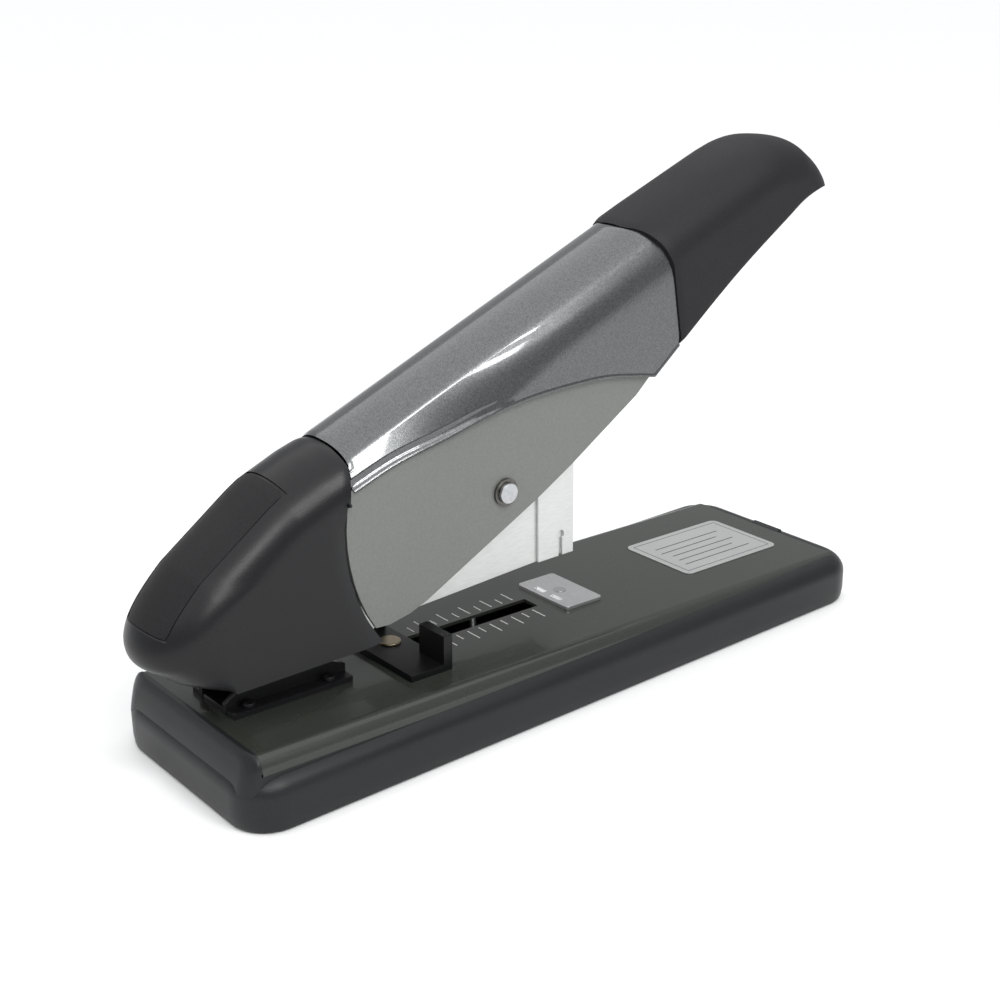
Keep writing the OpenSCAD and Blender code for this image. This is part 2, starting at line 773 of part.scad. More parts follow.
module grip() {
  color("#191a1c") difference() {
    hull() for (a = arch_angles)
      side_solid(
        concat(inset(grip_top, grip_drop * (1 - cos(a))), inset(grip_low, grip_round * (1 - cos(a)))),
        grip_half * sin(a));
    side_solid(concat([for (p = joint) [p[0] + 0.4, p[1]]], [[20, 180], [20, 100], [59, 100]]), 30);
    side_solid([[30, 134], [60, 145.2], [101, 162.4], [108.5, 157.5], [105.5, 150.6], [76, 129], [61, 117.7],
      [50, 112]], lever_half + 0.3);
  }
}

module cover_rivets() {
  color("#8d8f93") for (u = cover_rivet_us) on_ridge() translate([u, 0, web_z]) {
    cylinder(r = rivet_r, h = rivet_l, $fn = small_fn);
    translate([0, 0, -2]) cylinder(r = 2 * rivet_r, h = 2, $fn = small_fn);
  }
}

// ---- Driver ----

// The link pin's path as the driver sees it, so that both can move together
module link_path(r) {
  for (a = [0:2:press_angle])
    cross_pin(pin_x + link_arm * cos(link_rise - a),
      pin_z + link_arm * sin(link_rise - a) + stroke * a / press_angle, r, 20);
}

module driver_block() {
  color("#9b9da1") difference() {
    translate([link_x - 4.6, -block_half, link_z - 5])
      cube([blade_x0 - link_x + 4.6, 2 * block_half, 10.4]);
    link_path(link_r + 0.15);
  }
}

module driver_blade() {
  color("#b9bbbf") translate([blade_x0, -staple_half + 0.2, 57.1])
    cube([blade_x1 - blade_x0, staple_w - 0.4, link_z + 4 - 57.1]);
}

base_shell();
base_plate();
bottom_plate();
base_mat();
base_screws();
anvil();
anvil_rivet();
label_plate();
pedestal();
pedestal_bolts();
pedestal_nuts();
arm_pivot_pin();
arm_spring();
paper_guide();
guide_rivet();
guide_shoe();
arm_frame();
nose_housing();
rear_cover();
cover_insert();
cover_screws();
frame_spacers();
handle_pin();
handle_bushes();
handle_spring();
magazine_rail();
magazine_channel();
magazine_pull();
staple_strip();
pusher_rod();
pusher();
pusher_spring();
handle_lever();
handle_cover();
grip();
link_pin();
pin_washers();
cover_rivets();
driver_block();
driver_blade();
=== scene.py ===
"""Looks for the long reach stapler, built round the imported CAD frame.

Shapes are worked out in millimetres. MM turns them into metres where a mesh is made.
"""

import json
import math

import bmesh
import bpy
from mathutils import Matrix, Vector

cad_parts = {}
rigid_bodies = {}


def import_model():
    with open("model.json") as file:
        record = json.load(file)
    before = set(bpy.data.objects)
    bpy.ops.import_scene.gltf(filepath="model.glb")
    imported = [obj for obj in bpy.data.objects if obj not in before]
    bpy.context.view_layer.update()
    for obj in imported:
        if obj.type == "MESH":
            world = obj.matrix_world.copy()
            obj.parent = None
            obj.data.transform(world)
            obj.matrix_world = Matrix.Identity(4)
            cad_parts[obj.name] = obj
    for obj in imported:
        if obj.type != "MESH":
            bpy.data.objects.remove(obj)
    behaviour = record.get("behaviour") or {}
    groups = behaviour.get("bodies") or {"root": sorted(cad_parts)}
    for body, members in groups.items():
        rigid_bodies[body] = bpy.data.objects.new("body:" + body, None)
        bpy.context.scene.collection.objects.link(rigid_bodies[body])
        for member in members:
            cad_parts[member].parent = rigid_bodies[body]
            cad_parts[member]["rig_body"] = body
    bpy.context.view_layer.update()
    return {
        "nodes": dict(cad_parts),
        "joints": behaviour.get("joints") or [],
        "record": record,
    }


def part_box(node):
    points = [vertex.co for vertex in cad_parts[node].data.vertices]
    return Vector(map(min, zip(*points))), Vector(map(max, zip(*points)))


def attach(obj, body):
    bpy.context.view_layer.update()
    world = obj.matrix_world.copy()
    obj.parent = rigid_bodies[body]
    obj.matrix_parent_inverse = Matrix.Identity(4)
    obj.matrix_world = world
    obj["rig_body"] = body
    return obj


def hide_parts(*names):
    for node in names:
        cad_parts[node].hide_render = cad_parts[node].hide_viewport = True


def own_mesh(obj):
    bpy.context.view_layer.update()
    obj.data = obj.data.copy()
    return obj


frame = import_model()
MM = 0.001
MATERIALS = {}


# ---- Materials ----

def surface(name, colour, rough, metal=0.0, coat=0.0, coat_rough=0.05, spread=0.08, rough_spread=0.06,
            grain=900.0, bump=0.15, stretch=(1.0, 1.0, 1.0), smudge=18.0, flakes=0.0, specular=0.5):
    """A principled material with mottled colour, uneven sheen and a fine grain."""
    mat = bpy.data.materials.new(name)
    mat.use_nodes = True
    nodes, links = mat.node_tree.nodes, mat.node_tree.links
    shader = nodes["Principled BSDF"]
    shader.inputs["Metallic"].default_value = metal
    shader.inputs["Coat Weight"].default_value = coat
    shader.inputs["Coat Roughness"].default_value = coat_rough
    shader.inputs["Specular IOR Level"].default_value = specular
    coords = nodes.new("ShaderNodeTexCoord")
    mapping = nodes.new("ShaderNodeMapping")
    mapping.inputs["Scale"].default_value = stretch
    links.new(coords.outputs["Object"], mapping.inputs["Vector"])
    broad = nodes.new("ShaderNodeTexNoise")
    broad.inputs["Scale"].default_value = smudge
    broad.inputs["Detail"].default_value = 5.0
    links.new(coords.outputs["Object"], broad.inputs["Vector"])
    fine = nodes.new("ShaderNodeTexNoise")
    fine.inputs["Scale"].default_value = grain
    fine.inputs["Detail"].default_value = 3.0
    links.new(mapping.outputs["Vector"], fine.inputs["Vector"])
    ramp = nodes.new("ShaderNodeValToRGB")
    low = [c * (1 - spread) for c in colour]
    high = [min(1.0, c * (1 + spread)) for c in colour]
    ramp.color_ramp.elements[0].position = 0.3
    ramp.color_ramp.elements[0].color = (*low, 1)
    ramp.color_ramp.elements[1].position = 0.7
    ramp.color_ramp.elements[1].color = (*high, 1)
    if flakes:
        cells = nodes.new("ShaderNodeTexVoronoi")
        cells.inputs["Scale"].default_value = flakes
        links.new(coords.outputs["Object"], cells.inputs["Vector"])
        links.new(cells.outputs["Color"], ramp.inputs["Fac"])
    else:
        links.new(fine.outputs["Fac"], ramp.inputs["Fac"])
    links.new(ramp.outputs["Color"], shader.inputs["Base Color"])
    sheen = nodes.new("ShaderNodeMapRange")
    sheen.inputs["From Min"].default_value = 0.3
    sheen.inputs["From Max"].default_value = 0.7
    sheen.inputs["To Min"].default_value = max(0.02, rough - rough_spread)
    sheen.inputs["To Max"].default_value = min(1.0, rough + rough_spread)
    links.new(broad.outputs["Fac"], sheen.inputs["Value"])
    links.new(sheen.outputs["Result"], shader.inputs["Roughness"])
    relief = nodes.new("ShaderNodeBump")
    relief.inputs["Strength"].default_value = bump
    relief.inputs["Distance"].default_value = 0.0002
    links.new(fine.outputs["Fac"], relief.inputs["Height"])
    links.new(relief.outputs["Normal"], shader.inputs["Normal"])
    MATERIALS[name] = mat
    return mat


surface("black_plastic", (0.010, 0.0105, 0.0115), 0.36, spread=0.25, grain=2600, bump=0.3, specular=0.3)
surface("gloss_black", (0.0085, 0.0085, 0.0095), 0.3, spread=0.2, grain=2200, bump=0.18, specular=0.26)
surface("insert_black", (0.011, 0.0105, 0.0115), 0.58, spread=0.3, grain=2600, bump=0.5, specular=0.2)
surface("guide_plastic", (0.005, 0.005, 0.0055), 0.36, spread=0.2, grain=2000, bump=0.2, specular=0.25)
surface("rubber", (0.02, 0.02, 0.02), 0.85, spread=0.25, grain=1800, bump=0.5, specular=0.3)
surface("grip_rubber", (0.010, 0.0095, 0.011), 0.52, spread=0.3, grain=2600, bump=0.5, specular=0.25)
surface("dark_paint", (0.026, 0.029, 0.024), 0.26, coat=0.3, coat_rough=0.05, spread=0.12, grain=1700,
        bump=0.05, specular=0.3)
surface("grey_paint", (0.135, 0.142, 0.13), 0.42, coat=0.15, coat_rough=0.2, spread=0.08, grain=1500,
        bump=0.08)
surface("metallic_paint", (0.095, 0.098, 0.1), 0.27, metal=0.85, coat=0.7, coat_rough=0.04, spread=0.25,
        grain=1600, bump=0.02, flakes=3800)
surface("black_paint", (0.008, 0.008, 0.009), 0.38, coat=0.1, coat_rough=0.2, spread=0.2, grain=1500,
        bump=0.1, specular=0.25)
surface("zinc_sheet", (0.62, 0.63, 0.62), 0.36, metal=0.7, spread=0.06, grain=260, stretch=(1, 1, 9),
        bump=0.05, rough_spread=0.1)
surface("bright_steel", (0.55, 0.55, 0.55), 0.3, metal=0.85, spread=0.08, grain=500, stretch=(8, 1, 1),
        bump=0.08)
surface("label_foil", (0.48, 0.49, 0.48), 0.4, metal=0.6, spread=0.05, grain=700, stretch=(1, 10, 1),
        bump=0.05)
surface("steel", (0.45, 0.46, 0.47), 0.34, metal=0.95, spread=0.1, grain=600, stretch=(1, 5, 1),
        bump=0.1)
surface("spring_steel", (0.4, 0.4, 0.42), 0.3, metal=0.95, spread=0.15, grain=900, bump=0.08)
surface("brass", (0.3, 0.25, 0.17), 0.34, metal=0.9, spread=0.12, grain=900, bump=0.1)
surface("dark_steel", (0.12, 0.115, 0.105), 0.3, metal=0.9, spread=0.15, grain=900, bump=0.08)
surface("mark_ink", (0.6, 0.6, 0.58), 0.5, spread=0.1, grain=900, bump=0.1)
surface("print_ink", (0.05, 0.05, 0.052), 0.5, spread=0.3, grain=900, bump=0.1)


# ---- Building blocks ----

def make(name, mesh, body, slot, material=None, stands_for=()):
    """Links a mesh that is in metres, gives it its material and body, and hides what it stands for."""
    obj = bpy.data.objects.new(name, mesh)
    bpy.context.scene.collection.objects.link(obj)
    mesh.materials.clear()
    mesh.materials.append(MATERIALS[material or slot])
    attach(obj, body)
    if stands_for:
        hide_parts(*stands_for)
    return obj


def bake(obj):
    """Applies the modifiers for good."""
    graph = bpy.context.evaluated_depsgraph_get()
    mesh = bpy.data.meshes.new_from_object(obj.evaluated_get(graph), depsgraph=graph)
    obj.modifiers.clear()
    obj.data = mesh
    return obj


def smooth(mesh, angle=40.0):
    """Shades smoothly, with edges sharper than angle kept crisp."""
    bm = bmesh.new()
    bm.from_mesh(mesh)
    for face in bm.faces:
        face.smooth = True
    for edge in bm.edges:
        edge.smooth = not (edge.is_manifold and edge.calc_face_angle(0) > math.radians(angle))
    bm.to_mesh(mesh)
    bm.free()


def soften(obj, width, segments=3, angle=32.0):
    """Rounds the sharp edges and shades the flats evenly."""
    bevel = obj.modifiers.new("edges", "BEVEL")
    bevel.width = width * MM
    bevel.segments = segments
    bevel.limit_method = "ANGLE"
    bevel.angle_limit = math.radians(angle)
    bevel.miter_outer = "MITER_ARC"
    bevel.use_clamp_overlap = True
    normals = obj.modifiers.new("normals", "WEIGHTED_NORMAL")
    normals.keep_sharp = True
    for face in obj.data.polygons:
        face.use_smooth = True
    return bake(obj)


def refine(node, width=0.3, segments=3, material=None, angle=32.0):
    """A copy of a CAD node with its flats merged and its edges rounded."""
    source = frame["nodes"][node]
    mesh = source.data.copy()
    bm = bmesh.new()
    bm.from_mesh(mesh)
    bmesh.ops.remove_doubles(bm, verts=bm.verts, dist=2e-6)
    bmesh.ops.dissolve_limit(bm, angle_limit=math.radians(0.6), verts=bm.verts, edges=bm.edges)
    bmesh.ops.recalc_face_normals(bm, faces=bm.faces)
    bm.to_mesh(mesh)
    bm.free()
    if mesh.attributes.get("custom_normal"):
        mesh.attributes.remove(mesh.attributes["custom_normal"])
    obj = make(node + "_look", mesh, source["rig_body"], SLOTS[node], material, [node])
    if width:
        soften(obj, width, segments, angle)
    else:
        smooth(obj.data)
    return obj


def curve_through(points, step):
    """Points about step apart on a smooth curve through the given ones."""
    out = []
    count = len(points)
    for i in range(count - 1):
        a, b = Vector(points[i]), Vector(points[i + 1])
        before = Vector(points[i - 1]) if i else a * 2 - b
        after = Vector(points[i + 2]) if i + 2 < count else b * 2 - a
        parts = max(1, round((b - a).length / step))
        for k in range(parts):
            t = k / parts
            out.append(0.5 * (2 * a + (b - before) * t + (2 * before - 5 * a + 4 * b - after) * t * t
                              + (3 * a - before - 3 * b + after) * t ** 3))
    out.append(Vector(points[-1]))
    return out


def inward(points):
    """Unit normals of a 2-D path, pointing to the left of the way it is walked."""
    out = []
    for i in range(len(points)):
        along = points[min(i + 1, len(points) - 1)] - points[max(i - 1, 0)]
        out.append(Vector((-along.y, along.x)).normalized())
    return out


def skin(name, rows, close=False, caps=False):
    """A mesh of quads through rows of points in millimetres. None in a row leaves a gap."""
    bm = bmesh.new()
    grid = [[None if p is None else bm.verts.new(Vector(p) * MM) for p in row] for row in rows]
    for a, b in zip(grid, grid[1:]):
        last = len(a) if close else len(a) - 1
        for j in range(last):
            k = (j + 1) % len(a)
            corners = [a[j], a[k], b[k], b[j]]
            if None not in corners:
                bm.faces.new(corners)
    if caps:
        bm.faces.new(grid[0][::-1])
        bm.faces.new(grid[-1])
    bmesh.ops.remove_doubles(bm, verts=bm.verts, dist=1e-6)
    bmesh.ops.recalc_face_normals(bm, faces=bm.faces)
    mesh = bpy.data.meshes.new(name)
    bm.to_mesh(mesh)
    bm.free()
    return mesh


def thicken(obj, wall):
    """Gives an open skin a wall on its inner side."""
    solid = obj.modifiers.new("wall", "SOLIDIFY")
    solid.thickness = wall * MM
    solid.offset = -1
    solid.use_even_offset = False
    return bake(obj)


def box_mm(node):
    low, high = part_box(node)
    return low / MM, high / MM


SLOTS = {part["node"]: part["material_slot"] for part in frame["record"]["subparts"]}
JOINTS = {joint["name"]: joint for joint in frame["joints"]}
PIN = Vector(JOINTS["handle_press"]["pos_m"]) / MM


# ---- Rear cover ----

COVER_PATH = [
    (-80, 107.8), (-92.8, 102.6), (-104.3, 98.6), (-112.8, 93.1), (-121.6, 87.5), (-130.5, 81.4),
    (-138, 74.7), (-144.5, 67.2), (-149.9, 59.8), (-152.4, 54.9), (-153, 51.5), (-152, 48),
    (-148.8, 45.2), (-146.6, 43.6),
    (-143.6, 41.2), (-139.5, 39.4), (-134.8, 38.4), (-129, 38)]
COVER_R = 65.0
COVER_DROP = 15.8
COVER_WALL = 1.9
# The cover's front end above its arc: where it starts, and how far it leans back for each step up
COVER_TOP_X, COVER_TOP_Z, COVER_LEAN = -82.6, 99, 0.21
# Directions from the pin, in degrees, of the cover's rearmost point and of the blend into its foot
REAR_TURN, BLEND_FROM, BLEND_TO = 190.0, 182, 191.9


def fade(value, start, end):
    t = min(1.0, max(0.0, (value - start) / (end - start)))
    return t * t * (3 - 2 * t)


def between(table, x):
    """The value at x in a table of rising (x, value) pairs."""
    if x <= table[0][0]:
        return table[0][1]
    for (x0, v0), (x1, v1) in zip(table, table[1:]):
        if x <= x1:
            return v0 + (v1 - v0) * (x - x0) / (x1 - x0)
    return table[-1][1]


def cover_reach(path, normals):
    """The cover's distance from the handle's pin, by direction and by depth under the middle line."""
    polar = []
    for q in path:
        d = Vector((q.x - PIN.x, q.y - PIN.z))
        polar.append((math.degrees(math.atan2(d.y, d.x)) % 360, d.length))
    top = [i for i, (turn, _) in enumerate(polar) if turn < REAR_TURN + 1]
    foot = polar[-1][1]

    def inside(turn, depth):
        u = Vector((math.cos(math.radians(turn)), math.sin(math.radians(turn))))
        best = 1e9
        for i in top:
            lean = u.dot(normals[i])
            if lean < -1e-6:
                away = Vector((path[i].x - PIN.x, path[i].y - PIN.z))
                best = min(best, (away.dot(normals[i]) + depth) / lean)
        return best

    rim = between(polar, REAR_TURN)
    ratios = {}

    def reach(turn, depth):
        if depth not in ratios:
            ratios[depth] = (inside(REAR_TURN, depth) - foot) / (rim - foot)
        near = inside(turn, depth) if turn < REAR_TURN + 2 else 0
        far = foot + (between(polar, turn) - foot) * ratios[depth]
        g = fade(turn, BLEND_FROM, BLEND_TO)
        return near * (1 - g) + far * g

    return reach, polar[-1][0]


def rear_cover():
    low, high = box_mm("rear_cover")
    half = high.y
    path = curve_through([Vector(q) for q in COVER_PATH], 1.0)
    shift = Vector((low.x - min(q.x for q in path) + 0.02, low.z - min(q.y for q in path)))
    path = [q + shift for q in path]
    reach, end = cover_reach(path, inward(path))

    def edge(turn):
        """The cover's front edge: an arc round the pin, and a straight end above it."""
        c, q = math.cos(math.radians(turn)), math.sin(math.radians(turn))
        if PIN.z + COVER_R * q < COVER_TOP_Z:
            return COVER_R
        return (COVER_TOP_X - PIN.x + COVER_LEAN * (COVER_TOP_Z - PIN.z)) / (c + COVER_LEAN * q)

    def start(depth):
        """The direction in which the surface at this depth meets the front edge."""
        a, b = 140.0, 178.0
        for _ in range(30):
            m = (a + b) / 2
            if reach(m, depth) < edge(m):
                a = m
            else:
                b = m
        return b

    def on(turn, r):
        a = math.radians(turn)
        return Vector((PIN.x + r * math.cos(a), PIN.z + r * math.sin(a)))

    insert_ys = [0, 2, 4, 6, 8, 10, 11.4, 12.2]
    ys = insert_ys + [12.38, 12.6, 13.1, 13.8]
    turns = [math.degrees(math.asin(y / half)) for y in ys] + [46 + 4 * k for k in range(12)]
    starts = [start(COVER_DROP * (1 - math.cos(math.radians(a)))) for a in turns]
    steps = [k / 120 for k in range(121)]
    # The insert's recess, as shares of the way from the front to the foot
    first, last = 0.232, 0.725
    recess = 0.75
    for mark in (first, last):
        steps += [mark - 0.003, mark, mark + 0.0012, mark + 0.004]
    steps = sorted(steps)
    foot_turn = 180 + math.degrees(math.asin((PIN.z - low.z) / COVER_R))
    arc_start = starts[-1]
    # Distances from the front edge, over which the side rolls inwards
    rim_steps = [0, 0.4, 1.0, 2.0, 3.4, 5.2, 7.5]

    def arch(t, k, sink=0.0):
        a = turns[k]
        turn = starts[k] + (end - starts[k]) * t
        r = reach(turn, COVER_DROP * (1 - math.cos(math.radians(a)))) - sink
        roll = 0.9 * max(0.0, 1 - t / 0.03) ** 2
        return on(turn, r - roll), half * math.sin(math.radians(a))

    rows = []
    for t in steps:
        row = []
        for k in range(len(turns)):
            deep = recess if first <= t <= last and k < len(insert_ys) else 0.0
            q, y = arch(t, k, deep)
            row.append((q.x, y, q.y))
        base, _ = arch(t, len(turns) - 1)
        rim_at = on(arc_start + (foot_turn - arc_start) * t, COVER_R)
        span = (base - rim_at).length
        cuts = [min(m / max(span, 0.01), 0.4 * n / 7) for n, m in enumerate(rim_steps)]
        cuts += [0.5, 0.65, 0.8, 0.92]
        for cut in reversed(cuts):
            q = rim_at + (base - rim_at) * cut
            roll = 1.3 * max(0.0, 1 - cut * span / rim_steps[-1]) ** 2 * min(1.0, span / 10)
            row.append((q.x, half - roll, q.y))
        rows.append([(x, -y, z) for x, y, z in reversed(row)] + row[1:])
    obj = make("rear_cover_look", skin("rear_cover_look", rows), "arm", SLOTS["rear_cover"], None,
               ["rear_cover"])
    thicken(obj, COVER_WALL)
    smooth(obj.data, 38)
    # The matt insert lies in the recess on top
    plates = []
    for n in range(61):
        t = first + 0.006 + (last - first - 0.009) * n / 60
        share = min(1.0, 0.955 + 0.045 * min(n, 60 - n) / 2)
        row = []
        for k in range(len(insert_ys)):
            q, y = arch(t, k, 0.06)
            row.append((q.x, y * 11.95 / insert_ys[-1] * (share if k > 5 else 1), q.y))
        plates.append([(x, -y, z) for x, y, z in reversed(row)] + row[1:])
    insert = make("cover_insert_look", skin("cover_insert_look", plates), "arm", SLOTS["cover_insert"], None,
                  ["cover_insert"])
    thicken(insert, 0.5)
    soften(insert, 0.2, 3, 45)


# ---- Handle shell and grip ----

RISE = math.radians(22.1)
RIDGE = Vector((-92.0, 102.3))
SEAM = [(-82.2, 91.8), (-65.4, 97.6), (-45.4, 102.1), (-28.9, 105.8), (-7.4, 108.5), (19.8, 108.8),
        (36, 106.6), (46, 104.6), (58, 114)]
REAR = [(-83.3, 105.9), (-82.2, 103.9), (-81.5, 100.8), (-81.8, 96.9), (-82.2, 92.6), (-82.4, 88)]
JOINT = [(41.9, 156.6), (45.7, 155.6), (49.2, 151.7), (51.7, 146.5), (54.4, 140.2), (56.7, 130.2),
         (57.8, 116.2), (58, 112), (58, 106)]
# The shoulder's crease lies at 45 degrees on the round crown
CREASE_DROP, CREASE_REACH = 0.2929, 0.7071


def to_ridge(x, z):
    dx, dz = x - RIDGE.x, z - RIDGE.y
    return (dx * math.cos(RISE) + dz * math.sin(RISE), -dx * math.sin(RISE) + dz * math.cos(RISE))


def from_ridge(u, w):
    c, q = math.cos(RISE), math.sin(RISE)
    return (RIDGE.x + u * c - w * q, RIDGE.y + u * q + w * c)


def end_table(points):
    """Pairs of height over the ridge and distance along it, for a curved end."""
    ridge = [Vector(to_ridge(x, z)) for x, z in points]
    smooth_line = curve_through(ridge, 1.0)
    return sorted((q.y, q.x) for q in smooth_line)


REAR_END = end_table(REAR)
JOINT_END = end_table(JOINT)


def handle_shell():
    half = box_mm("handle_cover")[1].y
    crease = -CREASE_DROP * half
    seam = [Vector(to_ridge(x, z)) for x, z in SEAM]
    seam = curve_through(seam[:8], 1.0) + [seam[8]]
    seam = [(q.x, q.y) for q in seam]

    def span(w, t):
        """The place along the ridge at share t between the shell's two ends."""
        u0, u1 = between(REAR_END, w) + 0.1, between(JOINT_END, w) - 0.1
        return u0 + (u1 - u0) * t

    def section(w, seam_w, u):
        """The half width at height w: round, with a crease on the shoulder that fades along."""
        if w <= -half:
            return half
        round_y = math.sqrt(max(0.0, half * half - (half + w) ** 2))
        if w >= crease or seam_w >= crease - 1:
            return round_y
        crease_y = CREASE_REACH * half
        low = max(seam_w, -half)
        low_y = math.sqrt(max(0.0, half * half - (half + low) ** 2))
        flat_y = crease_y + (low_y - crease_y) * (w - crease) / (low - crease) if w > low else round_y
        return round_y + (flat_y - round_y) * (1 - fade(u, 30, 110))

    rows = []
    count = 130
    crown = [math.radians(45 * k / 12) for k in range(13)]
    sides = [0.015, 0.05, 0.1, 0.16, 0.22, 0.3, 0.38, 0.46, 0.54, 0.62, 0.7, 0.78, 0.86, 0.93]
    for i in range(count + 1):
        t = i / count
        w = -20.0
        for _ in range(10):
            w = between(seam, span(w, t))
        depths = [-half * (1 - math.cos(a)) for a in crown]
        depths += [crease + (w + 1.6 - crease) * q for q in sides]
        row = []
        for depth in depths:
            u = span(depth, t)
            dip = 0.5 * max(0.0, 1 - t * count / 2) ** 2
            dip += 0.4 * max(0.0, 1 - (1 - t) * count / 1.5) ** 2
            y = section(depth, w, u)
            x, z = from_ridge(u, depth - dip * (1 if depth > -8 else 0.2))
            row.append((x, y, z))
        u = span(w, t)
        y = section(w + 1.0, w, u)
        out = min(0.45, half + 0.35 - y)
        for lift, bulge in ((1.45, 0.0), (1.15, 0.5), (0.8, 0.9), (0.4, 1.0), (0.12, 0.8), (0.0, 0.4)):
            x, z = from_ridge(u, w + lift)
            row.append((x, section(w + lift, w, u) + out * bulge, z))
        for y_in, lift in ((-0.5, 0.0), (-1.2, 0.1), (-1.5, 0.5), (-1.6, 4.0)):
            x, z = from_ridge(u, w + lift)
            row.append((x, y + y_in, z))
        rows.append([(x, -y, z) for x, y, z in reversed(row)] + row[1:])
    obj = make("handle_shell_look", skin("handle_shell_look", rows), "handle", SLOTS["handle_cover"], None,
               ["handle_cover"])
    thicken(obj, 0.9)
    smooth(obj.data, 28)


GRIP_TOP = [(38, 155.6), (62.1, 165.4), (88.1, 175.3), (96.2, 178.3), (104.1, 180.5), (112.3, 181),
            (124.6, 179.1), (131.4, 175.2), (136.4, 170.9), (139.9, 166.3), (141.9, 162.2)]
GRIP_LOW = [(52.6, 107.9), (76.8, 126.5), (93.2, 138.1), (112.9, 150.7), (122, 156.4), (131, 159.8),
            (137, 161), (140, 161.7), (142.4, 162.2)]


def grip():
    half = box_mm("grip")[1].y
    top = curve_through([Vector(to_ridge(*q)) for q in GRIP_TOP], 0.8)
    normals = [-n for n in inward(top)]
    under = sorted((q.x, q.y) for q in curve_through([Vector(to_ridge(*q)) for q in GRIP_LOW], 0.8))

    def over(u, a):
        """The top's height at u, for the level of the arch at angle a."""
        depth = (17 - 4 * fade(u, 205, 238)) * (1 - math.cos(a))
        lines = [(q, n) for q, n in zip(top, normals) if n.y < -0.03]
        return min(q.y + (depth - n.x * (u - q.x)) / n.y for q, n in lines)

    def below(u, a):
        return between(under, u) + 3.2 * (1 - math.cos(a)) ** 1.5

    def begin(level, a):
        u = 148.0
        for _ in range(8):
            u = between(JOINT_END, level(u, a)) + 0.45
        return u

    def finish(a):
        p, q = 150.0, 239.2 - 7.0 * (1 - math.cos(a))
        for _ in range(30):
            m = (p + q) / 2
            if over(m, a) > below(m, a) + 0.02:
                p = m
            else:
                q = m
        return p

    angles = [math.radians(90 * k / 20) for k in range(21)]
    limits = [(begin(over, a), begin(below, a), finish(a)) for a in angles]
    rows = []
    count = 90
    for i in range(count + 1):
        t = 1 - (1 - i / count) ** 1.35
        pinch = 0.55 * max(0.0, 1 - i / 2.5) ** 2
        ring = []
        for a, (u0, _, u1) in zip(angles, limits):
            u = u0 + (u1 - u0) * t
            ring.append((u, (half - pinch) * math.sin(a), over(u, a) - pinch * math.cos(a)))
        top_u, foot_u, tip_u = limits[-1]
        up_u, low_u = top_u + (tip_u - top_u) * t, foot_u + (tip_u - foot_u) * t
        up_w, low_w = over(up_u, angles[-1]), below(low_u, angles[-1])
        for k in range(1, 10):
            q = k / 10
            ring.append((up_u + (low_u - up_u) * q, half - pinch, up_w + (low_w - up_w) * q))
        for a, (_, u0, u1) in reversed(list(zip(angles, limits))):
            u = u0 + (u1 - u0) * t
            ring.append((u, (half - pinch) * math.sin(a), below(u, a)))
        loop = ring + [(u, -y, w) for u, y, w in reversed(ring[1:-1])]
        row = []
        for u, y, w in loop:
            x, z = from_ridge(u, w)
            row.append((x, y, z))
        rows.append(row)
    mesh = skin("grip_look", rows, close=True, caps=True)
    obj = make("grip_look", mesh, "handle", SLOTS["grip"], None, ["grip"])
    smooth(obj.data, 42)


# ---- Base marks and label ----

PLATE_SLOPE = math.radians(1.406)


def plate_height(x):
    """Height of the sloping plate's top at x."""
    low, high = box_mm("base_plate")
    return high.z - (x - low.x) * math.tan(PLATE_SLOPE)


def strip(x0, x1, y0, y1, lift, thick):
    """The eight corners of a thin bar lying on the plate."""
    corners = []
    for z in (lift, lift + thick):
        for x, y in ((x0, y0), (x1, y0), (x1, y1), (x0, y1)):
            corners.append((x, y, plate_height(x) + z))
    return corners


BAR_FACES = ((3, 2, 1, 0), (4, 5, 6, 7), (0, 1, 5, 4), (1, 2, 6, 5), (2, 3, 7, 6), (3, 0, 4, 7))


def bars(name, boxes, body, slot, material, bevel=0.0):
    """One mesh of straight bars, each given by its four lower and four upper corners."""
    bm = bmesh.new()
    for corners in boxes:
        v = [bm.verts.new(Vector(c) * MM) for c in corners]
        for a, b, c, d in BAR_FACES:
            bm.faces.new((v[a], v[b], v[c], v[d]))
    mesh = bpy.data.meshes.new(name)
    bm.to_mesh(mesh)
    bm.free()
    obj = make(name, mesh, body, slot, material)
    if bevel:
        soften(obj, bevel, 2)
    return obj


def round_ring(half_l, half_w, r, z, sides=10):
    """A rectangle with rounded corners in plan, in order round the loop."""
    points = []
    for cx, cy, begin in ((1, 1, 0), (-1, 1, 90), (-1, -1, 180), (1, -1, 270)):
        for k in range(sides + 1):
            a = math.radians(begin + 90 * k / sides)
            points.append((cx * (half_l - r) + r * math.cos(a), cy * (half_w - r) + r * math.sin(a), z))
    out = []
    for a, b in zip(points, points[1:] + points[:1]):
        parts = max(1, int(math.dist(a, b) / 12))
        for k in range(parts):
            out.append(tuple(p + (q - p) * k / parts for p, q in zip(a, b)))
    return out


